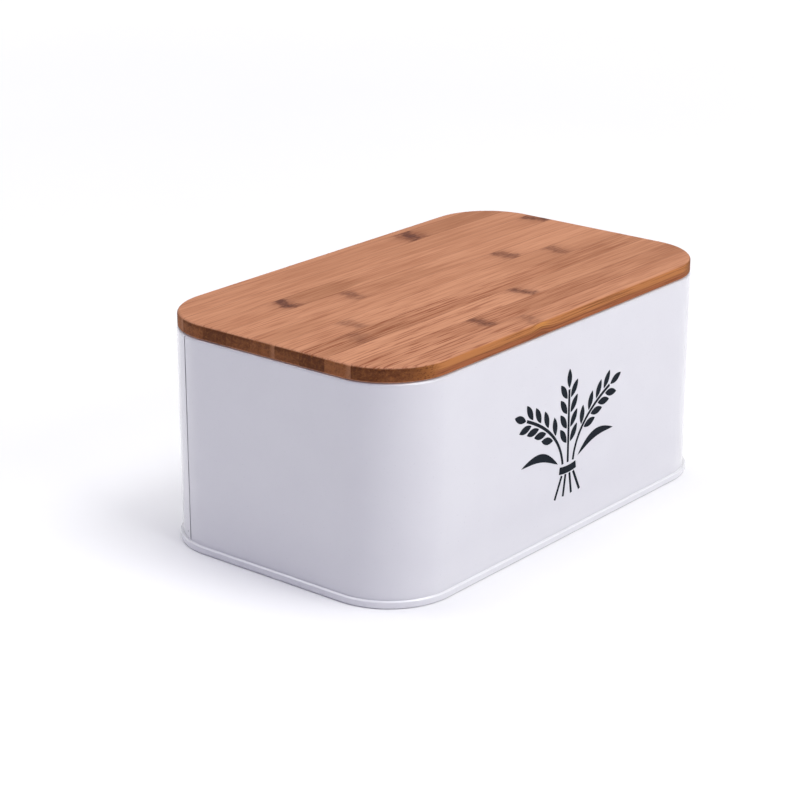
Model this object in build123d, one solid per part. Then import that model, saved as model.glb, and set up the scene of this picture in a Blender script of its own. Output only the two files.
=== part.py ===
"""Bread box: a coated sheet-steel box with a seamed base and a glued bamboo lid that lifts off.

Millimetres. The origin is the middle of the footprint on the table, +Z is up,
X runs along the length and the front is at -Y.
"""
from build123d import *
from math import cos, degrees, radians, sin, tan
import os

# Overall size: the seam ring round the base in plan, and the top of the lid
overall_length = 304.0
overall_depth = 184.0
overall_height = 135.0
corner_radius = 39.5        # outside corner of the wall, seen from above

# Sheet steel with its coating, and the air between the layers of a fold
sheet = 0.5
fold_gap = 0.04

# Double seam that hooks the base panel round the foot of the wall
seam_height = 4.4
hook_end_gap = 0.5          # from the edge of each hook to the fold that it sits in
foot_radius = 1.2           # round along the outer edge of the foot
seam_radius = 1.1           # round along the top of the seam
seam_corners = 3            # flats that each of these rounds is drawn with

# Base panel: set up inside the seam ring, with a pressed step that stiffens it
panel_lift = 6.0            # underside of the panel's rim above the table
rim_width = 7.0             # level rim between the seam and the step
step_drop = 1.0             # how far the middle lies below the rim
step_angle = 45.0

# Curl along the mouth, rolled inwards
curl_radius = 2.2
curl_corners = 9            # flats that the curl is drawn with
curl_corner_turn = 22.5

# Lock seam where the ends of the wall sheet hook together, round the back left corner
lock_angle = 19.0           # from the straight left end towards the back
lock_width = 6.0            # folded layers, on the inside
lock_layers = 2
lock_groove_width = 0.9    # line that shows outside
lock_groove_depth = 0.3
lock_end_gap = 1.0          # clear of the seam below and of the curl above

# Lid: a board of glued staves with a rabbet underneath
lid_edge = 8.3              # height of the edge that shows
lid_inset = 0.4             # from the wall's outside to the lid's edge
lid_seat_gap = 0.3          # between the rabbet and the curl
plug_depth = 3.5            # how far the middle of the lid reaches into the mouth
plug_clearance = 0.6        # between the plug and the curl
lid_top_round = 1.8
lid_low_ease = 0.5
plug_ease = 0.8
stave_width = 17.5
front_stave_width = 15.5    # the front and back staves are cut to the outline

# Worked out from the sizes above
seam_proud = 3 * (sheet + fold_gap)
wall_length = overall_length - 2 * seam_proud
wall_depth = overall_depth - 2 * seam_proud
lid_underside = overall_height - lid_edge
curl_top = lid_underside - lid_seat_gap
curl_centre = curl_top - curl_radius


def rounded_outline(inset):
    """Outline of the box in plan, `inset` inside the outer face of the wall."""
    return RectangleRounded(wall_length - 2 * inset, wall_depth - 2 * inset, corner_radius - inset)


def slab(inset, bottom, top):
    """Solid with the box's outline between two heights."""
    return Pos(0, 0, bottom) * extrude(rounded_outline(inset), top - bottom)


def bent_face(start, heading, steps, side):
    """Corners of one face of a bent sheet, `side` to the left of the traced face.

    Steps: ("flat", length) and ("bend", radius, turn, corners, far_corners). A bend is a row of flats
    that touch its radius, which is that of the traced face; its turn is in degrees to the left.
    """
    def toward(angle):
        return Vector(cos(radians(angle)), sin(radians(angle)))

    here = Vector(*start) + side * toward(heading + 90)
    points = [here]
    for kind, *sizes in steps:
        if kind == "flat":
            here = here + sizes[0] * toward(heading)
            continue
        traced_radius, turn, traced_corners, far_corners = sizes
        corners = far_corners if side else traced_corners
        hand = 1 if turn > 0 else -1
        radius = traced_radius - hand * side
        centre = here + hand * radius * toward(heading + 90)
        out = heading - hand * 90
        part_turn = turn / corners
        for number in range(corners):
            middle = out + (number + 0.5) * part_turn
            points.append(centre + radius / cos(radians(part_turn / 2)) * toward(middle))
        here = centre + radius * toward(out + turn)
        heading += turn
    points.append(here)
    return points


def crease(turn):
    """Sharp bend, for folds that do not show."""
    return ("bend", 0, turn, 1, 1)


def bent_sheet(start, heading, steps):
    """Section through a bent sheet: across is outwards from the wall's face, up is up."""
    near = bent_face(start, heading, steps, 0)
    far = bent_face(start, heading, steps, sheet)
    return make_face(Polyline(*near, *reversed(far), close=True))


def run_round(section):
    """Carry a section of the sheet once round the box, following the wall's outer face."""
    path = rounded_outline(0).face().outer_wire()
    along = path % 0
    outwards = along.cross(Vector(0, 0, 1))
    plane = Plane(origin=path @ 0, x_dir=outwards, z_dir=outwards.cross(Vector(0, 0, 1)))
    return sweep(plane * section, path=path)


def make_wall():
    """Wall sheet: hook at the foot, straight wall, curl along the mouth and the lock seam."""
    hook_face = sheet + 2 * fold_gap
    fold_floor = 2 * sheet + fold_gap
    hook_top = seam_height - sheet - hook_end_gap
    wall = run_round(bent_sheet(
        start=(hook_face, hook_top),
        heading=-90,
        steps=[
            ("flat", hook_top - fold_floor),
            crease(-90),
            ("flat", hook_face),
            crease(-90),
            ("flat", curl_centre - fold_floor),
            ("bend", curl_radius, curl_corners * curl_corner_turn, curl_corners, curl_corners),
        ],
    ))

    # Lock seam: folded layers inside the corner and a fine groove outside
    corner = Pos(-(wall_length / 2 - corner_radius), wall_depth / 2 - corner_radius, 0)
    axis = Axis(corner.position, (0, 0, 1))
    lock_bottom = panel_lift + sheet + lock_end_gap
    lock_top = curl_centre - curl_radius - lock_end_gap

    def corner_strip(inner_radius, outer_radius, width, bottom, top):
        turn = degrees(width / corner_radius)
        plane = Plane(origin=corner.position, x_dir=(1, 0, 0), z_dir=(0, -1, 0))
        middle = Pos((inner_radius + outer_radius) / 2, (bottom + top) / 2)
        face = plane * middle * Rectangle(outer_radius - inner_radius, top - bottom)
        strip = revolve(face, axis, revolution_arc=turn)
        return strip.rotate(axis, 180 - lock_angle - turn / 2)

    inside = corner_radius - sheet
    layers = corner_strip(inside - lock_layers * sheet, inside + sheet / 2, lock_width, lock_bottom, lock_top)
    groove = corner_strip(
        corner_radius - lock_groove_depth, corner_radius + sheet,
        lock_groove_width, seam_height + lock_end_gap, curl_centre,
    )
    return wall + layers - groove


def make_base_panel():
    """Base panel: pressed middle, wall of the countersink and the outer half of the double seam."""
    inner_face = -(2 * sheet + fold_gap)
    hook_foot = 2 * sheet + fold_gap + hook_end_gap
    step_run = step_drop / tan(radians(step_angle))
    reach = 2 * rim_width + step_run - inner_face
    middle_height = panel_lift - step_drop
    ring = run_round(bent_sheet(
        start=(-reach, middle_height),
        heading=0,
        steps=[
            ("flat", rim_width),
            crease(step_angle),
            ("flat", step_drop / sin(radians(step_angle))),
            crease(-step_angle),
            ("flat", rim_width),
            crease(-90),
            ("flat", panel_lift),
            crease(90),
            ("flat", seam_proud - inner_face - foot_radius),
            ("bend", foot_radius, 90, seam_corners, 1),
            ("flat", seam_height - foot_radius - seam_radius),
            ("bend", seam_radius, 90, seam_corners, 1),
            ("flat", seam_proud - fold_gap - seam_radius),
            crease(90),
            ("flat", seam_height - hook_foot),
        ],
    ))
    return ring + slab(reach, middle_height, middle_height + sheet)


def make_lid_board():
    """The whole lid before it is divided into its staves."""
    board = slab(lid_inset, lid_underside, overall_height)
    board = fillet(board.edges().group_by(Axis.Z)[-1], lid_top_round)
    board = chamfer(board.edges().group_by(Axis.Z)[0], lid_low_ease)
    plug = slab(2 * curl_radius + plug_clearance, lid_underside - plug_depth, lid_underside)
    plug = chamfer(plug.edges().group_by(Axis.Z)[0], plug_ease)
    return board + plug


def make_staves():
    """Lid staves from front to back, divided along the length of the board."""
    board = make_lid_board()
    edge = wall_depth / 2 - lid_inset
    joints = [-edge]
    joint = -edge + front_stave_width
    while joint < edge - 2 * lid_top_round:
        joints.append(joint)
        joint += stave_width
    joints.append(edge)
    staves = []
    for low, high in zip(joints[:-1], joints[1:]):
        slot = Box(overall_length, high - low, overall_height)
        staves.append(board & Pos(0, (low + high) / 2, overall_height / 2) * slot)
    return staves


def main():
    os.makedirs("parts", exist_ok=True)
    pieces = {"wall": make_wall(), "base_panel": make_base_panel()}
    for number, stave in enumerate(make_staves(), start=1):
        pieces[f"lid_stave_{number:02d}"] = stave
    for name, piece in pieces.items():
        export_step(piece, f"parts/{name}.step")


main()
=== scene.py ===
"""Bread box: white coated steel with a bamboo lid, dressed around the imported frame. Metres."""

from math import atan2, cos, degrees, pi, radians, sin, sqrt

import bmesh
import bpy
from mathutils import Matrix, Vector


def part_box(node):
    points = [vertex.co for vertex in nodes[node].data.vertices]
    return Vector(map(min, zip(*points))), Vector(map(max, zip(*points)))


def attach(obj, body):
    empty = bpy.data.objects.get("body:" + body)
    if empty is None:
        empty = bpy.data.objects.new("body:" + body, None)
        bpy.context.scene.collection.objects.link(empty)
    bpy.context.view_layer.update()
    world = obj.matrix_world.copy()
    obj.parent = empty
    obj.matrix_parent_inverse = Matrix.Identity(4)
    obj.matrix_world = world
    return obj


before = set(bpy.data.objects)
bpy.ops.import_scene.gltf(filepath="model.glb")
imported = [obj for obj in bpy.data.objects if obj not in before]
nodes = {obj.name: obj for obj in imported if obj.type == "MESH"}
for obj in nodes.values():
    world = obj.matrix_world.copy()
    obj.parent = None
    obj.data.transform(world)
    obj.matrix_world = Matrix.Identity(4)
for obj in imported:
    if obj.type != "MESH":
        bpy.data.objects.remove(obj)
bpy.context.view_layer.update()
STAVES = sorted(name for name in nodes if name.startswith("lid_stave"))
MILLIMETRES = 1000      # in a metre

# Camera, as the photograph sees the box: degrees, metres and pixels of the picture
PICTURE_WIDTH = 800
SENSOR_WIDTH = 36       # millimetres
VIEW_AZIMUTH = -51.85
VIEW_ELEVATION = 19.44
VIEW_DISTANCE = 1.368
FOCAL_PIXELS = 2330.8
VIEW_CENTRE = Vector((0, 0, 0.065))
AIM_RIGHT = -0.02497
AIM_UP = -0.00318

# Colours of the coat, the print and the stage, linear
COAT_WHITE = (0.700, 0.693, 0.738)
COAT_SHADE = (0.688, 0.680, 0.727)
# painted light: a lighter coat for the foot and the seam ring
COAT_PAINTED_LIGHT = (0.860, 0.855, 0.885)
# painted light inside the box, and painted highlight on the rims that turn up
COAT_PAINTED_LIGHTEST = (0.930, 0.930, 0.950)
COAT_SPECK = (0.30, 0.29, 0.28)
# painted shade along the lock seam, also the colour of a nick
SEAM_SHADE_AND_NICK = (0.23, 0.225, 0.255)
INK = (0.008, 0.011, 0.017)
INK_THIN = (0.013, 0.017, 0.024)
FLOOR = (0.93, 0.93, 0.93)
FLOOR_SHADE = (0.92, 0.92, 0.92)
BACKDROP = (1.0, 1.0, 1.0)

# Colours of the bamboo: broad faces, cut ends and long edges
BAMBOO_LIGHT = (0.612, 0.284, 0.158)
BAMBOO_MIDDLE = (0.420, 0.170, 0.085)
BAMBOO_DARK = (0.245, 0.068, 0.027)
STAIN = (0.63, 0.56, 0.47)
MARK_MIDDLE = (0.225, 0.078, 0.038)
MARK_DARK = (0.092, 0.026, 0.018)
JOINT_DARK = (0.18, 0.058, 0.024)
END_LIGHT = (0.325, 0.115, 0.040)
END_DARK = (0.115, 0.031, 0.007)
END_DOT = (0.060, 0.018, 0.008)
END_PALE = (0.420, 0.185, 0.092)
CORNER_GOLD = (0.330, 0.115, 0.028)
EDGE_AMBER = (0.480, 0.182, 0.056)
EDGE_BRIGHT = (0.600, 0.250, 0.058)
EDGE_RED = (0.345, 0.108, 0.038)
EDGE_STREAK = (0.175, 0.054, 0.018)
# painted highlight on the eased lower arris
ARRIS_PAINTED_HIGHLIGHT = (0.560, 0.330, 0.210)


class Nodes:
    """Small helper that adds and links the nodes of one tree."""

    def __init__(self, tree):
        self.tree = tree
        tree.nodes.clear()

    def add(self, kind, **settings):
        node = self.tree.nodes.new(kind)
        for key, value in settings.items():
            setattr(node, key, value)
        return node

    def put(self, socket, value):
        """Link a socket to another one, or set its value."""
        if isinstance(value, bpy.types.NodeSocket):
            self.tree.links.new(value, socket)
        else:
            socket.default_value = value

    def math(self, operation, *values):
        node = self.add("ShaderNodeMath", operation=operation)
        for socket, value in zip(node.inputs, values):
            self.put(socket, value)
        return node.outputs[0]

    def ramp(self, value, low, high, to_low=0.0, to_high=1.0):
        """Smooth step of a value from one range to another."""
        node = self.add("ShaderNodeMapRange", interpolation_type="SMOOTHSTEP")
        for socket, number in zip(node.inputs, (value, low, high, to_low, to_high)):
            self.put(socket, number)
        return node.outputs[0]

    def parts(self, vector):
        node = self.add("ShaderNodeSeparateXYZ")
        self.put(node.inputs[0], vector)
        return node.outputs


class Shader(Nodes):
    """Nodes of one material, built round one surface."""

    def __init__(self, name):
        self.material = bpy.data.materials.new(name)
        self.material.use_nodes = True
        super().__init__(self.material.node_tree)
        self.surface = self.add("ShaderNodeBsdfPrincipled")
        output = self.add("ShaderNodeOutputMaterial")
        self.put(output.inputs["Surface"], self.surface.outputs[0])

    def mix(self, factor, first, second, blend="MIX"):
        node = self.add("ShaderNodeMix", data_type="RGBA", blend_type=blend)
        self.put(node.inputs["Factor"], factor)
        for label, value in (("A", first), ("B", second)):
            socket = next(s for s in node.inputs if s.name == label and s.type == "RGBA")
            self.put(socket, value if isinstance(value, bpy.types.NodeSocket) else (*value, 1))
        return next(s for s in node.outputs if s.type == "RGBA")

    def place(self):
        """Coordinates that stay with the piece, in metres."""
        return self.add("ShaderNodeTexCoord").outputs["Object"]

    def facing(self):
        """Direction that the surface looks in."""
        return self.add("ShaderNodeNewGeometry").outputs["Normal"]

    def vector(self, x=0.0, y=0.0, z=0.0):
        node = self.add("ShaderNodeCombineXYZ")
        for socket, value in zip(node.inputs, (x, y, z)):
            self.put(socket, value)
        return node.outputs[0]

    def scaled(self, vector, scale, shift):
        """A vector times a scale for each axis, plus a shift."""
        node = self.add("ShaderNodeVectorMath", operation="MULTIPLY_ADD")
        for socket, value in zip(node.inputs, (vector, scale, shift)):
            self.put(socket, value)
        return node.outputs[0]

    def noise(self, vector, scale=1.0, detail=2.0, roughness=0.5):
        node = self.add("ShaderNodeTexNoise")
        self.put(node.inputs["Vector"], vector)
        self.put(node.inputs["Scale"], scale)
        self.put(node.inputs["Detail"], detail)
        self.put(node.inputs["Roughness"], roughness)
        return node.outputs[0]

    def cells(self, vector, scale=1.0):
        """Distance to the middle of the nearest cell."""
        node = self.add("ShaderNodeTexVoronoi")
        self.put(node.inputs["Vector"], vector)
        self.put(node.inputs["Scale"], scale)
        return node.outputs["Distance"]

    def swing(self, noise, amount, onto):
        """A value that a noise pushes up and down by a share of `amount`."""
        return self.math("MULTIPLY_ADD", self.math("SUBTRACT", noise, 0.5), amount, onto)

    def gap(self, value, other):
        """Distance between two numbers."""
        return self.math("ABSOLUTE", self.math("SUBTRACT", value, other))

    def size(self, first, second):
        """Length of two numbers at right angles."""
        squares = self.math("MULTIPLY_ADD", first, first, self.math("MULTIPLY", second, second))
        return self.math("SQRT", squares)

    def both(self, first, *others):
        """Product of masks."""
        for other in others:
            first = self.math("MULTIPLY", first, other)
        return first

    def bump(self, height, distance, under=None):
        node = self.add("ShaderNodeBump")
        self.put(node.inputs["Height"], height)
        self.put(node.inputs["Distance"], distance)
        self.put(node.inputs["Strength"], 1.0)
        if under is not None:
            self.put(node.inputs["Normal"], under)
        return node.outputs[0]

    def finish(self, **sockets):
        for label, value in sockets.items():
            self.put(self.surface.inputs[label.replace("_", " ")], value)
        return self.material


# Here and below, a scale is in waves per metre, and a ramp is (from, to) of its input,
# followed by the values that it goes from and to where they are not 0 and 1.
# Coat: mottling, specks, orange peel and slow waves
MOTTLE_SCALE = 45
MOTTLE_RAMP = (0.3, 0.7)
SPECK_SCALE = 55
SPECK_PATCH_SCALE = 30
SPECK_SIZE_RAMP = (0.62, 0.80, 0.0, 0.028)
SPECK_SHARE = 0.6
PEEL_SCALE = 950
PEEL_HEIGHT = 0.000003
PEEL_ROUGHNESS_RAMP = (0.2, 0.8, 0.27, 0.33)
WAVE_SCALE = 60
WAVE_HEIGHT = 0.00003

# Painted light on the coat, metres: lighter at the foot and the seam ring, lightest inside, and painted
# highlights on the curl at the mouth and the top of the ring
FOOT_TOP = 0.028
FOOT_LIGHT_SHARE = 0.35
RING_TOP = 0.0045
RING_LIGHT_SHARE = 0.45
CURL_RADIUS = 0.0022
CURL_HIGHLIGHT_SHARE = 0.35
RIM_HIGHLIGHT_RAMP = (0.05, 0.45)
INWARD_LEAST = 0.005
INSIDE_LEVEL = 0.5
INSIDE_FLOOR_TOP = 0.010
INSIDE_LIGHT_SHARE = 0.90

# Lock seam: a line of painted shade round the back left corner, and a nick, metres and degrees from the
# left end
CORNER_RADIUS = 0.0395
LID_INSET = 0.0004
LOCK_ANGLE = 19.0
LOCK_LINE_RAMP = (0.00072, 0.00036)
LOCK_BOTTOM = 0.0046
SHADE_AND_NICK_DEPTH = 0.0004         # the painted seam shade and the nick show down to this depth under the outer face
SHADE_AND_NICK_DEPTH_END = 0.0006
SEAM_SHADE_UNEVEN_SCALE = 90
SEAM_SHADE_UNEVEN_RAMP = (0.3, 0.7, 0.7, 1.0)
NICK_ACROSS = -0.0034
NICK_Z = 0.0085
NICK_RAMP = (0.0008, 0.0004)
NICK_SHARE = 0.8


def coated_steel():
    """White powder coat: faint mottling, fine orange peel, a few specks, painted shade in the lock seam
    and a dark nick.
    Painted light makes it lighter at the foot and on the seam ring and lightest inside, and painted
    highlights make it lightest along the rims that turn up."""
    m = Shader("coated_steel")
    place = m.place()
    x, y, z = m.parts(place)
    normal_x, normal_y, upward = m.parts(m.facing())
    mottle = m.noise(place, MOTTLE_SCALE, detail=3)
    colour = m.mix(m.ramp(mottle, *MOTTLE_RAMP), COAT_SHADE, COAT_WHITE)
    # painted light: lighter towards the foot, against the shade near the floor
    colour = m.mix(m.ramp(z, FOOT_TOP, RING_TOP, 0.0, FOOT_LIGHT_SHARE), colour, COAT_PAINTED_LIGHT)
    # painted light: the seam ring lighter than the wall
    ring = m.math("LESS_THAN", z, RING_TOP)
    colour = m.mix(m.math("MULTIPLY", ring, RING_LIGHT_SHARE), colour, COAT_PAINTED_LIGHT)

    # painted light: the inside walls and the inside floor lightest, against the shade in the box
    outward = m.math("MULTIPLY_ADD", normal_x, x, m.math("MULTIPLY", normal_y, y))
    inside_wall = m.math("LESS_THAN", outward, -INWARD_LEAST)
    level = m.math("GREATER_THAN", upward, INSIDE_LEVEL)
    above_ring = m.math("GREATER_THAN", z, RING_TOP)
    inside_floor = m.both(level, above_ring, m.math("LESS_THAN", z, INSIDE_FLOOR_TOP))
    inside = m.math("MAXIMUM", inside_wall, inside_floor)
    colour = m.mix(m.math("MULTIPLY", inside, INSIDE_LIGHT_SHARE), colour, COAT_PAINTED_LIGHTEST)
    # painted highlight: the curl at the mouth and the top of the seam ring lightest where they turn up
    curl = m.math("GREATER_THAN", z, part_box("wall")[1].z - CURL_RADIUS)
    rim = m.both(m.math("MULTIPLY_ADD", curl, CURL_HIGHLIGHT_SHARE, ring), m.ramp(upward, *RIM_HIGHLIGHT_RAMP))
    colour = m.mix(rim, colour, COAT_PAINTED_LIGHTEST)

    speck_size = m.ramp(m.noise(place, SPECK_PATCH_SCALE), *SPECK_SIZE_RAMP)
    speck = m.math("LESS_THAN", m.cells(place, SPECK_SCALE), speck_size)
    colour = m.mix(m.math("MULTIPLY", speck, SPECK_SHARE), colour, COAT_SPECK)

    # Painted shade along the lock seam's groove, and a dark nick beside it, measured from the middle of
    # the corner's bend
    lid_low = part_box(STAVES[len(STAVES) // 2])[0]
    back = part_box(STAVES[-1])[1].y
    out_x = m.math("SUBTRACT", x, lid_low.x - LID_INSET + CORNER_RADIUS)
    out_y = m.math("SUBTRACT", y, back + LID_INSET - CORNER_RADIUS)
    turn = radians(180 - LOCK_ANGLE)
    along = m.math("MULTIPLY_ADD", out_x, cos(turn), m.math("MULTIPLY", out_y, sin(turn)))
    across = m.math("MULTIPLY_ADD", out_x, -sin(turn), m.math("MULTIPLY", out_y, cos(turn)))
    # painted shade: the groove of the lock seam drawn as a dark line that comes and goes
    line = m.ramp(m.math("ABSOLUTE", across), *LOCK_LINE_RAMP)
    outside = m.ramp(along, CORNER_RADIUS - SHADE_AND_NICK_DEPTH_END, CORNER_RADIUS - SHADE_AND_NICK_DEPTH)
    uneven_shade = m.ramp(m.noise(place, SEAM_SHADE_UNEVEN_SCALE), *SEAM_SHADE_UNEVEN_RAMP)
    above_foot = m.math("GREATER_THAN", z, LOCK_BOTTOM)
    colour = m.mix(m.both(line, outside, uneven_shade, above_foot), colour, SEAM_SHADE_AND_NICK)
    nick = m.size(m.math("SUBTRACT", across, NICK_ACROSS), m.math("SUBTRACT", z, NICK_Z))
    colour = m.mix(m.both(m.ramp(nick, *NICK_RAMP), outside, NICK_SHARE), colour, SEAM_SHADE_AND_NICK)

    peel = m.noise(place, PEEL_SCALE)
    waves = m.noise(place, WAVE_SCALE, detail=1)
    normal = m.bump(waves, WAVE_HEIGHT, under=m.bump(peel, PEEL_HEIGHT))
    rough = m.ramp(peel, *PEEL_ROUGHNESS_RAMP)
    return m.finish(Base_Color=colour, Roughness=rough, Normal=normal, IOR=1.5,
                    Coat_Weight=1.0, Coat_Roughness=0.10, Coat_IOR=1.7)


# Floor, metres: it glows a little far from the box, so that it stays white towards the horizon
FLOOR_HALF = 60.0
FLOOR_SCALE = 3
FLOOR_RAMP = (0.2, 0.8)
GLOW_RAMP = (0.6, 3.5, 0.0, 0.34)


def floor_material():
    """White floor with the faintest clouds."""
    m = Shader("floor")
    place = m.place()
    x, y, _ = m.parts(place)
    tone = m.ramp(m.noise(place, FLOOR_SCALE), *FLOOR_RAMP)
    glow = m.ramp(m.size(x, y), *GLOW_RAMP)
    return m.finish(Base_Color=m.mix(tone, FLOOR_SHADE, FLOOR), Roughness=0.9, Specular_IOR_Level=0.1,
                    Emission_Color=(1, 1, 1, 1), Emission_Strength=glow)


INK_SCALE = 700
INK_COVER_RAMP = (0.25, 0.75)
INK_ROUGHNESS_RAMP = (0.2, 0.8, 0.55, 0.68)


def ink():
    """Printed ink: nearly black, dull, a little uneven."""
    m = Shader("print_ink")
    cover = m.noise(m.place(), INK_SCALE)
    colour = m.mix(m.ramp(cover, *INK_COVER_RAMP), INK, INK_THIN)
    rough = m.ramp(cover, *INK_ROUGHNESS_RAMP)
    return m.finish(Base_Color=colour, Roughness=rough, Specular_IOR_Level=0.06)


# Look of each stave from front to back: lightness, share of dark dashes, end-grain lightness,
# knuckles as (x, darkness, length) and stains as (from x, to x, strength), in millimetres
STAVE_LOOKS = [
    dict(tone=0.60, streak=0.54, end=0.30, marks=[(-28, 0.30, 8)], stains=[]),
    dict(tone=0.42, streak=0.72, end=0.20, marks=[(-49, 0.70, 7)], stains=[(-20, 150, 0.25)]),
    dict(tone=0.74, streak=0.52, end=0.85, marks=[(12, 0.72, 7)], stains=[(30, 150, 0.30)]),
    dict(tone=0.41, streak=0.74, end=0.05, marks=[(-112, 0.32, 16)],
         stains=[(-150, -72, 0.46), (60, 150, 0.30)]),
    dict(tone=0.64, streak=0.34, end=0.30, marks=[(94, 0.47, 10), (-97, 0.40, 9)],
         stains=[(40, 150, 0.20)]),
    dict(tone=0.58, streak=0.33, end=0.58, marks=[(65, 0.62, 11)], stains=[(-150, -100, 0.20)]),
    dict(tone=0.62, streak=0.32, end=0.36, marks=[(-56, 0.43, 10)], stains=[(-45, 20, 0.25)]),
    dict(tone=0.54, streak=0.32, end=0.10, marks=[(-91, 0.95, 10), (144, 0.80, 9)],
         stains=[(-84, -36, 0.60)]),
    dict(tone=0.52, streak=0.27, end=0.55, marks=[], stains=[(20, 90, 0.20)]),
    dict(tone=0.48, streak=0.26, end=0.95, marks=[(61, 0.78, 18)], stains=[(70, 150, 0.45)]),
    dict(tone=0.50, streak=0.26, end=0.65, marks=[], stains=[]),
]

# Grain of a stave: each has its own part of the noises, and its fibres wander a little, metres
SEED_STEP = (0.11, 3.7, 1.3)
WANDER_SCALE = (7, 25, 25)
WANDER = 0.0022
FINE_SCALE = (34, 900, 900)
DASH_SCALE = (24, 640, 640)
BROAD_SCALE = (7, 380, 380)
CLOUD_SCALE = (14, 55, 55)
BUNDLE_SCALE = (420, 1350, 1350)

# Which way the surface looks: round the corner from long edge to cut end, and over the edges
CORNER_RAMP = (0.08, 0.34)
END_RAMP = (0.18, 0.70)
CORNER_DOT_RAMP = (0.16, 0.52, 0.10, 1.0)
# painted highlight on the faces that look down
LOW_ARRIS_HIGHLIGHT_RAMP = (0.25, 0.50)
BROAD_FACE_RAMP = (0.42, 0.86)
LEAST_LENGTH = 0.0001

# Relief and gloss of the bamboo
FINE_RELIEF = 0.6
BROAD_RELIEF = 0.4
KNUCKLE_RELIEF = -0.5
RELIEF_HEIGHT = 0.00006
SATIN_RAMP = (0.3, 0.7, 0.42, 0.54)
CUT_ROUGHNESS = 0.72


def bamboo(name, number, look):
    """One stave: fibres along X. Broad faces show dashes and knuckles, cut ends show the bundles
    as dots, and the long edges of the board show two layers. Faces that look down carry a painted
    highlight."""
    m = Shader(name)
    place = m.place()
    seed = tuple(step * number for step in SEED_STEP)
    bend = m.noise(m.scaled(place, WANDER_SCALE, seed), detail=1)
    wander = m.vector(y=m.math("MULTIPLY_ADD", bend, WANDER, -WANDER / 2))
    grain = m.scaled(place, (1, 1, 1), wander)
    fine = m.noise(m.scaled(grain, FINE_SCALE, seed))
    broad = m.noise(m.scaled(grain, BROAD_SCALE, seed))
    bundles = m.cells(m.scaled(grain, BUNDLE_SCALE, seed))

    face = stave_face_colour(m, name, look, seed, place, grain, fine, broad)
    face, knuckle = stave_knuckles(m, name, number, look, seed, place, face)
    face = stave_joints(m, name, number, seed, place, face)
    end = stave_end(m, name, look, seed, place, bundles, fine)
    corner = m.mix(m.ramp(bundles, *CORNER_DOT_RAMP), END_DARK, CORNER_GOLD)
    edge = stave_edge(m, name, seed, place)

    # Which way the surface looks decides what is cut
    normal_x, normal_y, upward = m.parts(m.facing())
    level_length = m.math("MAXIMUM", m.size(normal_x, normal_y), LEAST_LENGTH)
    endwise = m.math("DIVIDE", m.math("ABSOLUTE", normal_x), level_length)
    side = m.mix(m.ramp(endwise, *CORNER_RAMP), edge, corner)
    side = m.mix(m.ramp(endwise, *END_RAMP), side, end)
    # painted highlight: the eased lower arris, which looks down, made lighter
    low_arris_highlight = m.ramp(m.math("MULTIPLY", upward, -1.0), *LOW_ARRIS_HIGHLIGHT_RAMP)
    side = m.mix(low_arris_highlight, side, ARRIS_PAINTED_HIGHLIGHT)
    broad_face = m.ramp(m.math("ABSOLUTE", upward), *BROAD_FACE_RAMP)
    colour = m.mix(broad_face, side, face)

    height = m.math("MULTIPLY_ADD", fine, FINE_RELIEF, m.math("MULTIPLY", broad, BROAD_RELIEF))
    if knuckle is not None:
        height = m.math("MULTIPLY_ADD", knuckle, KNUCKLE_RELIEF, height)
    normal = m.bump(height, RELIEF_HEIGHT)
    satin = m.ramp(fine, *SATIN_RAMP)
    rough = m.ramp(broad_face, 0.0, 1.0, CUT_ROUGHNESS, satin)
    return m.finish(Base_Color=colour, Roughness=rough, Normal=normal, IOR=1.48, Specular_IOR_Level=0.2)


# Broad faces: unrest of the tone, ragged ends of the stains in metres, dashes and fine streaks
UNREST_LEAST = 0.25
UNREST_BY_STREAK = 1.3
CLOUD_SHARE = 0.8
TONE_RAMP = (0.10, 0.95)
STAIN_RAGGED = 0.05
STAIN_START_SOFT = 0.006
STAIN_STOP_SOFT = 0.010
DASH_RAMP = (0.54, 0.68)
DASH_SHARE = 0.45
FINE_DARK_RAMP = (0.52, 0.63)
FINE_DARK_SHARE = 0.9
FINE_LIGHT_RAMP = (0.46, 0.36)
FINE_LIGHT_SHARE = 0.5
VIVID_RAMP = (0.14, -0.12, 0.42, 1.40)      # fine streaks stand out most towards the left end
TURN_OVER = 0.0001


def top_side_x(m, name, place):
    """X along a stave's top. The underside is another layer, so X runs the other way there and its
    stains and knuckles lie elsewhere."""
    low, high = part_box(name)
    x, _, z = m.parts(place)
    middle = (low.z + high.z) / 2
    return m.both(x, m.ramp(z, middle - TURN_OVER, middle + TURN_OVER, -1.0, 1.0))


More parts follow.
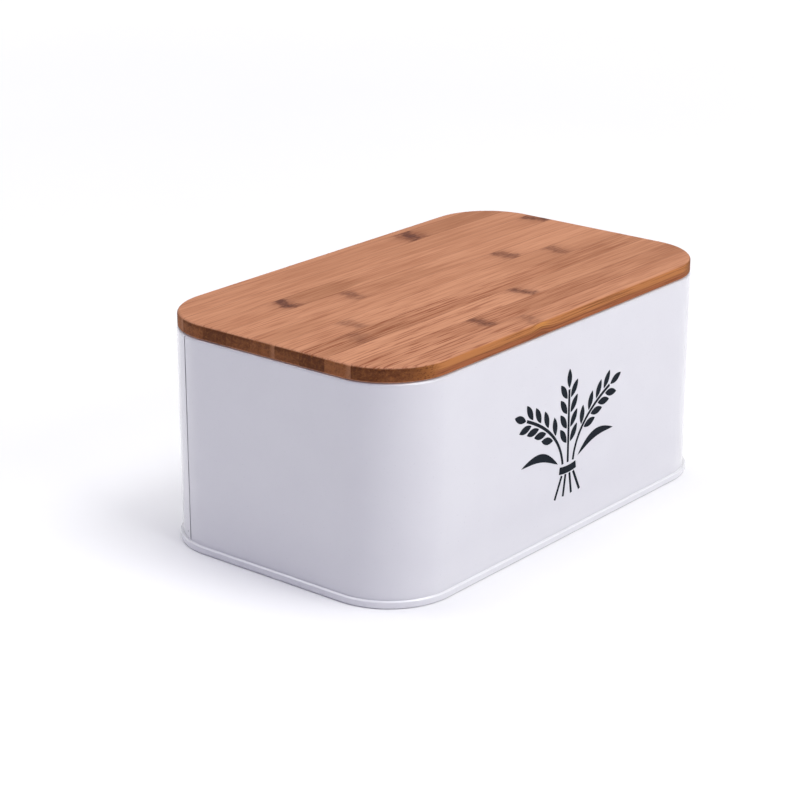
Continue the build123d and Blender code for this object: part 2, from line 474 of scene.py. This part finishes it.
def stave_face_colour(m, name, look, seed, place, grain, fine, broad):
    """Colour of the broad faces with their stains and streaks."""
    dash = m.noise(m.scaled(grain, DASH_SCALE, seed), detail=1)
    cloud = m.noise(m.scaled(place, CLOUD_SCALE, seed))
    unrest = UNREST_LEAST + UNREST_BY_STREAK * look["streak"]
    tone = m.swing(broad, unrest, look["tone"])
    tone = m.swing(cloud, CLOUD_SHARE * unrest, tone)
    colour = m.mix(m.ramp(tone, *TONE_RAMP), BAMBOO_MIDDLE, BAMBOO_LIGHT)

    ragged = m.swing(broad, STAIN_RAGGED, top_side_x(m, name, place))
    for from_x, to_x, strength in look["stains"]:
        start = from_x / MILLIMETRES
        stop = to_x / MILLIMETRES
        inside = m.both(m.ramp(ragged, start - STAIN_START_SOFT, start + STAIN_START_SOFT),
                        m.ramp(ragged, stop + STAIN_STOP_SOFT, stop - STAIN_STOP_SOFT))
        colour = m.mix(m.math("MULTIPLY", inside, strength), colour, STAIN, blend="MULTIPLY")

    dashes = m.ramp(dash, *DASH_RAMP, 0.0, look["streak"] * DASH_SHARE)
    colour = m.mix(dashes, colour, BAMBOO_DARK)
    vivid = m.ramp(m.parts(place)[0], *VIVID_RAMP)
    dark = m.ramp(fine, *FINE_DARK_RAMP, 0.0, look["streak"] * FINE_DARK_SHARE)
    colour = m.mix(m.both(dark, vivid), colour, BAMBOO_DARK)
    light = m.ramp(fine, *FINE_LIGHT_RAMP, 0.0, look["streak"] * FINE_LIGHT_SHARE)
    return m.mix(light, colour, BAMBOO_LIGHT)


# Knuckles: a soft halo, a band and dark cores, all ragged and flecked, metres
FLECK_SCALE = (260, 900, 900)
FLECK_RAMP = (0.36, 0.60, 0.50, 1.0)
SKEW_SCALE = (20, 130, 130)
SKEW = 0.008
RAGGED_SCALE = (170, 420, 420)
RAGGED = 0.005
HALO_OUT = 0.012
HALO_IN = 0.002
HALO_SHARE = 0.45
BAND_OUT = 0.003
BAND_IN = 0.004
BAND_SHARE = 1.2
CORE_HALF_LENGTH = 0.0050
CORE_HALF_WIDTH = 0.0056
CORE_RAGGED = 0.9
CORE_RAMP = (1.25, 0.30)
CORE_POWER = 1.6
# Dark cores of a knuckle as (along, across) from its middle, in millimetres; three layouts in turn
CORES = (
    ((-1.6, 4.4), (1.9, -4.3)),
    ((-2.0, -5.0), (0.8, 0.6), (2.0, 5.2)),
    ((0.6, 5.0), (-1.2, -2.8)),
)


def stave_knuckles(m, name, number, look, seed, place, colour):
    """Colour with the knuckles added, and the mask of their dark cores, None if there are none."""
    low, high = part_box(name)
    y = m.parts(place)[1]
    side_x = top_side_x(m, name, place)
    skew = m.noise(m.scaled(place, SKEW_SCALE, seed), detail=1)
    rough_edge = m.noise(m.scaled(place, RAGGED_SCALE, seed))
    speckled = m.ramp(m.noise(m.scaled(place, FLECK_SCALE, seed)), *FLECK_RAMP)
    knuckle = None
    for turn, (mark_x, dark, length) in enumerate(look["marks"]):
        away = m.math("SUBTRACT", side_x, mark_x / MILLIMETRES)
        away = m.swing(skew, SKEW, away)
        away = m.swing(rough_edge, RAGGED, away)
        far = m.math("ABSOLUTE", away)
        half = length / MILLIMETRES / 2
        halo = m.ramp(far, half + HALO_OUT, half - HALO_IN)
        colour = m.mix(m.both(halo, speckled, dark * HALO_SHARE), colour, MARK_MIDDLE)
        band = m.ramp(far, half + BAND_OUT, half - BAND_IN)
        colour = m.mix(m.both(band, speckled, min(dark * BAND_SHARE, 1.0)), colour, MARK_MIDDLE)
        for along, across in CORES[(number + turn) % len(CORES)]:
            core_x = m.math("SUBTRACT", away, along / MILLIMETRES)
            core_x = m.math("DIVIDE", core_x, CORE_HALF_LENGTH)
            core_y = m.math("SUBTRACT", y, (low.y + high.y) / 2 + across / MILLIMETRES)
            core_y = m.math("DIVIDE", core_y, CORE_HALF_WIDTH)
            reach = m.swing(rough_edge, CORE_RAGGED, m.size(core_x, core_y))
            core = m.both(m.ramp(reach, *CORE_RAMP), speckled, dark ** CORE_POWER)
            colour = m.mix(core, colour, MARK_DARK)
            knuckle = core if knuckle is None else m.math("MAXIMUM", knuckle, core)
    return colour, knuckle


# Glue joints: a fine dark line that comes and goes, metres
JOINT_RAMP = (0.00030, 0.00008)
JOINT_BREAK_SCALE = (40, 40, 40)
JOINT_BREAK_RAMP = (0.35, 0.6, 0.15, 0.7)


def stave_joints(m, name, number, seed, place, colour):
    """Colour with the dark lines along the joints to the neighbouring staves."""
    low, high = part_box(name)
    y = m.parts(place)[1]
    line = None
    for joint, shown in ((low.y, number > 1), (high.y, number < len(STAVES))):
        if shown:
            near = m.ramp(m.gap(y, joint), *JOINT_RAMP)
            line = near if line is None else m.math("MAXIMUM", line, near)
    broken = m.ramp(m.noise(m.scaled(place, JOINT_BREAK_SCALE, seed)), *JOINT_BREAK_RAMP)
    return m.mix(m.both(line, broken), colour, JOINT_DARK)


# Cut ends: patches, a darker strip under the top edge, flecks, and a pale strip along a joint, metres
PATCH_SCALE = (60, 210, 330)
PATCH_UNREST = 1.3
TOP_SHADE_START = 0.0035
TOP_SHADE_FULL = 0.0010
TOP_SHADE = 0.30
END_TONE_RAMP = (-0.2, 1.1)
END_FLECK_SCALE = (520, 720, 720)
END_FLECK_DARK_RAMP = (0.50, 0.66, 0.0, 0.36)
END_FLECK_GOLD_RAMP = (0.48, 0.34, 0.0, 0.30)
PALE_END_LEAST = 0.56
PALE_START = 0.0045
PALE_FULL = 0.0010
PALE_SHARE = 0.6
BUNDLE_DOT_RAMP = (0.34, 0.16, 0.0, 0.55)
END_FINE_RAMP = (0.58, 0.72, 0.0, 0.35)


def stave_end(m, name, look, seed, place, bundles, fine):
    """Colour of the cut ends: each stave has its own tone, mottled, darker under the top edge, with the
    bundles as dots. The light ones are palest along one joint."""
    low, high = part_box(name)
    _, y, z = m.parts(place)
    patch = m.noise(m.scaled(place, PATCH_SCALE, seed), detail=3, roughness=0.65)
    tone = m.swing(patch, PATCH_UNREST, look["end"])
    shade = m.ramp(z, high.z - TOP_SHADE_START, high.z - TOP_SHADE_FULL, 0.0, TOP_SHADE)
    tone = m.math("SUBTRACT", tone, shade)
    colour = m.mix(m.ramp(tone, *END_TONE_RAMP), END_DARK, END_LIGHT)
    fleck = m.noise(m.scaled(place, END_FLECK_SCALE, seed), roughness=0.6)
    colour = m.mix(m.ramp(fleck, *END_FLECK_DARK_RAMP), colour, END_DOT)
    colour = m.mix(m.ramp(fleck, *END_FLECK_GOLD_RAMP), colour, CORNER_GOLD)
    if look["end"] > PALE_END_LEAST:
        pale = m.ramp(y, low.y + PALE_START, low.y + PALE_FULL, 0.0, PALE_SHARE)
        colour = m.mix(pale, colour, END_PALE)
    colour = m.mix(m.ramp(bundles, *BUNDLE_DOT_RAMP), colour, END_DOT)
    return m.mix(m.ramp(fine, *END_FINE_RAMP), colour, CORNER_GOLD)


# Long edges: how deep the amber layer is, how its border sways and rises at a knuckle, and fine lines
AMBER_DEPTH = 0.0048
LAYER_SOFT = 0.0005
SWAY_SCALE = (22, 0, 0)
SWAY = 0.0012
EDGE_KNUCKLE_X = -0.0275
EDGE_KNUCKLE_RAMP = (0.011, 0.0)
EDGE_KNUCKLE_RISE = -0.0012
EDGE_KNUCKLE_SHARE = 0.8
LINE_SCALE_ALONG = 16
LINE_SCALE_UP = 1150
LINE_DARK_RAMP = (0.49, 0.62, 0.0, 0.75)
LINE_LIGHT_RAMP = (0.45, 0.34, 0.0, 0.5)
BORDER_RAMP = (0.0011, 0.0002, 0.0, 0.5)
BORDER_BREAK_RAMP = (0.35, 0.60)


def stave_edge(m, name, seed, place):
    """Colour of the board's long edges: an amber layer over a reddish one, with dark lines."""
    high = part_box(name)[1]
    x, _, z = m.parts(place)
    sway = m.noise(m.scaled(place, SWAY_SCALE, seed))
    near = m.ramp(m.gap(x, EDGE_KNUCKLE_X), *EDGE_KNUCKLE_RAMP)
    swayed = m.math("MULTIPLY_ADD", sway, SWAY, z)
    raised = m.math("MULTIPLY_ADD", near, EDGE_KNUCKLE_RISE, swayed)
    line_x = m.math("MULTIPLY", x, LINE_SCALE_ALONG)
    line_z = m.math("MULTIPLY", raised, LINE_SCALE_UP)
    lines = m.noise(m.vector(x=line_x, z=line_z), detail=3, roughness=0.7)
    split = high.z - AMBER_DEPTH + SWAY / 2
    layer = m.ramp(raised, split - LAYER_SOFT, split + LAYER_SOFT)
    colour = m.mix(layer, EDGE_RED, EDGE_AMBER)
    colour = m.mix(m.both(near, layer, EDGE_KNUCKLE_SHARE), colour, EDGE_BRIGHT)
    colour = m.mix(m.ramp(lines, *LINE_DARK_RAMP), colour, EDGE_STREAK)
    colour = m.mix(m.ramp(lines, *LINE_LIGHT_RAMP), colour, EDGE_AMBER)
    border = m.both(m.ramp(m.gap(raised, split), *BORDER_RAMP), m.ramp(lines, *BORDER_BREAK_RAMP))
    return m.mix(border, colour, EDGE_STREAK)


# Shading of the bends: edges that turn more than this stay sharp, degrees; corners merge, metres
SHARP_TURN = 38
MERGE_DISTANCE = 0.000002
FACE_WEIGHT = 100


def smooth_bends(piece):
    """Shade the flats of each bend as one round, and keep the sharp edges."""
    tree = bpy.data.node_groups.get("smooth_bends") or smooth_bends_tree()
    piece.modifiers.new("smooth_bends", "NODES").node_group = tree
    weigh = piece.modifiers.new("weigh_normals", "WEIGHTED_NORMAL")
    weigh.weight = FACE_WEIGHT
    weigh.keep_sharp = True


def smooth_bends_tree():
    """Merge the corners that neighbouring faces share, shade smooth, and mark sharp edges."""
    tree = bpy.data.node_groups.new("smooth_bends", "GeometryNodeTree")
    for way in ("INPUT", "OUTPUT"):
        tree.interface.new_socket("Geometry", in_out=way, socket_type="NodeSocketGeometry")
    n = Nodes(tree)
    drop = n.add("GeometryNodeRemoveAttribute")
    n.put(drop.inputs["Name"], "custom_normal")
    merge = n.add("GeometryNodeMergeByDistance")
    n.put(merge.inputs["Distance"], MERGE_DISTANCE)
    smooth = n.add("GeometryNodeSetShadeSmooth")
    crease = n.add("GeometryNodeSetShadeSmooth", domain="EDGE")
    n.put(crease.inputs["Shade Smooth"], False)
    sharp = n.add("FunctionNodeCompare", operation="GREATER_THAN")
    n.put(sharp.inputs["A"], n.add("GeometryNodeInputMeshEdgeAngle").outputs["Unsigned Angle"])
    n.put(sharp.inputs["B"], radians(SHARP_TURN))
    n.put(crease.inputs["Selection"], sharp.outputs["Result"])
    flow = n.add("NodeGroupInput").outputs[0]
    for step in (drop, merge, smooth, crease):
        n.put(step.inputs["Geometry"], flow)
        flow = step.outputs["Geometry"]
    n.put(n.add("NodeGroupOutput").inputs[0], flow)
    return tree


def dress(piece, material):
    """Give a piece one material."""
    piece.data.materials.clear()
    piece.data.materials.append(material)


# Printed sheaf on the front: flat outlines in millimetres, u to the right and v up from the tie
PRINT_CENTRE_X = 0.0
PRINT_TIE_Z = 41.5
PRINT_THICKNESS = 0.08
PRINT_SUNK = 0.03
# Ears as (start u, tip u, tip v), stalks as (start u, end u), blades as (start u, lean in degrees, bow)
EARS = ((-5.0, -40, 39), (0, 0, 47), (5.0, 40, 39))
STALKS = ((-5.5, -12), (-1.9, -4), (1.9, 4), (5.5, 12))
BLADES = ((-9.4, -78, 5.0), (9.4, 78, -5.0))
BLADE_LENGTH = 36.0
BLADE_WIDTH = 5.0
BLADE_POINTS = 16
STEM_WIDTH = 1.9
STEM_STEPS = 60
STEM_PULL_U = 1.6
STEM_PULL_V = 0.62
STROKE_EVERY = 3
STALK_LENGTH = 13.0
TIE_HALF_WIDTH = 8.0
TIE_HALF_HEIGHT = 2.2
TIE_CLEAR = 1.2
TIE_SAG = 0.8
TIE_STATIONS = (-1, -0.6, -0.2, 0.2, 0.6, 1)
KERNEL_LENGTH = 11.5
KERNEL_WIDTH = 4.5
KERNEL_POINTS = 12
KERNEL_LEAN = 34
KERNEL_PITCH = 8.8
KERNEL_ROWS = 4
KERNEL_GAP = 0.75
FIRST_ROW = 0.55
LEAF_FULLNESS = 0.8


def leaf_outline(length, width, points, bow=0.0):
    """Pointed oval along +v from the origin, with its middle bowed sideways."""
    side = []
    for k in range(1, points):
        half = width / 2 * sin(pi * k / points) ** LEAF_FULLNESS
        side.append((half, length * k / points))
    right = [(u + bow * sin(pi * v / length), v) for u, v in side]
    left = [(-u + bow * sin(pi * v / length), v) for u, v in reversed(side)]
    return [(0, 0)] + right + [(0, length)] + left


def turned(outline, angle, u, v):
    """An outline turned clockwise from +v and moved."""
    c = cos(radians(angle))
    s = sin(radians(angle))
    return [(u + a * c + b * s, v - a * s + b * c) for a, b in outline]


def stroke(path, width):
    """Closed outline of a stroke along a path of points."""
    half = width / 2
    left = []
    right = []
    for k, (u, v) in enumerate(path):
        before = path[max(k - 1, 0)]
        after = path[min(k + 1, len(path) - 1)]
        du = after[0] - before[0]
        dv = after[1] - before[1]
        long = sqrt(du * du + dv * dv)
        left.append((u - dv / long * half, v + du / long * half))
        right.append((u + dv / long * half, v - du / long * half))
    return right + left[::-1]


def stem_path(start, tip):
    """Points of a stem that rises from the tie and bends out to the tip."""
    pull = (start[0] * STEM_PULL_U, start[1] + (tip[1] - start[1]) * STEM_PULL_V)
    path = []
    for k in range(STEM_STEPS + 1):
        t = k / STEM_STEPS
        shares = ((1 - t) ** 2, 2 * t * (1 - t), t * t)
        pulls = list(zip(shares, (start, pull, tip)))
        path.append(tuple(sum(share * point[axis] for share, point in pulls) for axis in (0, 1)))
    return path


def ear_outlines(path):
    """One kernel beyond the tip of a stem, and pairs of them down from it."""
    kernel = leaf_outline(KERNEL_LENGTH, KERNEL_WIDTH, KERNEL_POINTS)
    outlines = []
    walked = 0.0
    row = 0
    for (u, v), (u_before, v_before) in zip(path[:0:-1], path[-2::-1]):
        heading = atan2(u - u_before, v - v_before)
        if not outlines:
            tip_u = u + KERNEL_GAP * sin(heading)
            tip_v = v + KERNEL_GAP * cos(heading)
            outlines.append(turned(kernel, degrees(heading), tip_u, tip_v))
        walked += sqrt((u - u_before) ** 2 + (v - v_before) ** 2)
        if row < KERNEL_ROWS and walked >= (row + FIRST_ROW) * KERNEL_PITCH:
            for side in (-1, 1):
                off = side * (STEM_WIDTH / 2 + KERNEL_GAP)
                base_u = u_before + off * cos(heading)
                base_v = v_before - off * sin(heading)
                lean = degrees(heading) + side * KERNEL_LEAN
                outlines.append(turned(kernel, lean, base_u, base_v))
            row += 1
    return outlines


def sheaf_outlines():
    """Three ears of wheat and two blades held by a band, with their stalks below it."""
    clear = TIE_HALF_HEIGHT + TIE_CLEAR
    outlines = []
    for start_u, tip_u, tip_v in EARS:
        path = stem_path((start_u, clear), (tip_u, tip_v))
        outlines.append(stroke(path[::STROKE_EVERY], STEM_WIDTH))
        outlines += ear_outlines(path)
    for start_u, end_u in STALKS:
        outlines.append(stroke([(start_u, -clear), (end_u, -clear - STALK_LENGTH)], STEM_WIDTH))
    for start_u, angle, bow in BLADES:
        blade = leaf_outline(BLADE_LENGTH, BLADE_WIDTH, BLADE_POINTS, bow)
        outlines.append(turned(blade, angle, start_u, clear + TIE_CLEAR))
    band = [(TIE_HALF_WIDTH * s, -TIE_SAG * (1 - s * s)) for s in TIE_STATIONS]
    outlines.append(stroke(band, 2 * TIE_HALF_HEIGHT))
    return outlines


def make_print():
    """Sheaf of wheat printed on the front of the wall, as thick as its ink."""
    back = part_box(STAVES[0])[0].y - LID_INSET + PRINT_SUNK / MILLIMETRES
    mesh = bmesh.new()
    for outline in sheaf_outlines():
        corners = []
        for u, v in outline:
            place = ((PRINT_CENTRE_X + u) / MILLIMETRES, back, (PRINT_TIE_Z + v) / MILLIMETRES)
            corners.append(mesh.verts.new(place))
        face = mesh.faces.new(corners)
        raised = bmesh.ops.extrude_face_region(mesh, geom=[face])
        moved = [part for part in raised["geom"] if isinstance(part, bmesh.types.BMVert)]
        bmesh.ops.translate(mesh, verts=moved, vec=(0, -PRINT_THICKNESS / MILLIMETRES, 0))
    bmesh.ops.recalc_face_normals(mesh, faces=mesh.faces)
    data = bpy.data.meshes.new("front_print")
    mesh.to_mesh(data)
    mesh.free()
    piece = bpy.data.objects.new("front_print", data)
    bpy.context.scene.collection.objects.link(piece)
    dress(piece, ink())
    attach(piece, "box")


def make_floor():
    """White floor, far larger than the view."""
    corners = [(FLOOR_HALF * x, FLOOR_HALF * y, 0) for x, y in ((-1, -1), (1, -1), (1, 1), (-1, 1))]
    data = bpy.data.meshes.new("floor")
    data.from_pydata(corners, [], [(0, 1, 2, 3)])
    floor = bpy.data.objects.new("floor", data)
    bpy.context.scene.collection.objects.link(floor)
    dress(floor, floor_material())


# Soft boxes: place, point aimed at, width and height in metres, and watts
SOFTBOXES = {
    "key": ((0.1, -2.4, 1.4), (0, 0, 0.07), (1.6, 1.2), 17),
    "top": ((0.2, -1.0, 2.2), (0, 0, 0.1), (1.2, 0.8), 11),
    "back": ((-0.75, 1.45, 1.9), (0, 0, 0.1), (0.9, 0.5), 4),
}


def make_softboxes():
    """Soft light from the front and above, and a little from the back left."""
    for name, (place, aim, size, power) in SOFTBOXES.items():
        light = bpy.data.lights.new(name, "AREA")
        light.shape = "RECTANGLE"
        light.size, light.size_y = size
        light.energy = power
        lamp = bpy.data.objects.new(name, light)
        lamp.location = place
        lamp.rotation_euler = (Vector(aim) - Vector(place)).to_track_quat("-Z", "Y").to_euler()
        bpy.context.scene.collection.objects.link(lamp)


# Light of the surroundings from the left, across the middle, to the right: place along the way, colour
SURROUNDINGS = (
    (0.15, (0.008, 0.0, 0.078)),
    (0.55, (0.57, 0.57, 0.57)),
    (0.85, (0.26, 0.26, 0.26)),
)
ACROSS = (0.5, 0.15, 0.0)                   # share of each axis in the way across
MIDDLE = 0.5
OVERHEAD_RAMP = (0.72, 0.95, 1.0, 5.5)      # gain of the light by how steeply it falls


def make_surroundings():
    """Soft light all round, dim on the left and brightest overhead. The camera sees a white backdrop."""
    world = bpy.data.worlds.new("studio")
    world.use_nodes = True
    n = Nodes(world.node_tree)
    direction = n.add("ShaderNodeTexCoord").outputs["Generated"]
    across = n.add("ShaderNodeVectorMath", operation="DOT_PRODUCT")
    n.put(across.inputs[0], direction)
    n.put(across.inputs[1], ACROSS)
    tones = n.add("ShaderNodeValToRGB")
    tones.color_ramp.interpolation = "EASE"
    tones.color_ramp.elements.new(MIDDLE)
    for stop, (position, colour) in zip(tones.color_ramp.elements, SURROUNDINGS):
        stop.position = position
        stop.color = (*colour, 1)
    n.put(tones.inputs["Fac"], n.math("ADD", across.outputs["Value"], MIDDLE))
    light = n.add("ShaderNodeBackground")
    n.put(light.inputs["Color"], tones.outputs["Color"])
    n.put(light.inputs["Strength"], n.ramp(n.parts(direction)[2], *OVERHEAD_RAMP))
    backdrop = n.add("ShaderNodeBackground")
    n.put(backdrop.inputs["Color"], (*BACKDROP, 1))
    either = n.add("ShaderNodeMixShader")
    n.put(either.inputs["Fac"], n.add("ShaderNodeLightPath").outputs["Is Camera Ray"])
    n.put(either.inputs[1], light.outputs[0])
    n.put(either.inputs[2], backdrop.outputs[0])
    n.put(n.add("ShaderNodeOutputWorld").inputs["Surface"], either.outputs[0])
    bpy.context.scene.world = world
    bpy.context.scene.view_settings.view_transform = "Standard"


def make_camera():
    """Camera at the photograph's viewing angle."""
    azimuth = radians(VIEW_AZIMUTH)
    elevation = radians(VIEW_ELEVATION)
    back = Vector((sin(azimuth) * cos(elevation), -cos(azimuth) * cos(elevation), sin(elevation)))
    right = Vector((cos(azimuth), sin(azimuth), 0))
    up = back.cross(right)
    place = VIEW_CENTRE + back * VIEW_DISTANCE
    aim = VIEW_CENTRE + right * AIM_RIGHT + up * AIM_UP
    data = bpy.data.cameras.new("camera")
    data.sensor_width = SENSOR_WIDTH
    data.lens = SENSOR_WIDTH * FOCAL_PIXELS / PICTURE_WIDTH
    camera = bpy.data.objects.new("camera", data)
    camera.location = place
    camera.rotation_euler = (aim - place).to_track_quat("-Z", "Y").to_euler()
    bpy.context.scene.collection.objects.link(camera)
    bpy.context.scene.camera = camera


steel = coated_steel()
for name in ("wall", "base_panel"):
    dress(nodes[name], steel)
    smooth_bends(nodes[name])
for number, (name, look) in enumerate(zip(STAVES, STAVE_LOOKS), start=1):
    dress(nodes[name], bamboo(name, number, look))
    smooth_bends(nodes[name])
make_print()
make_floor()
make_softboxes()
make_surroundings()
make_camera()
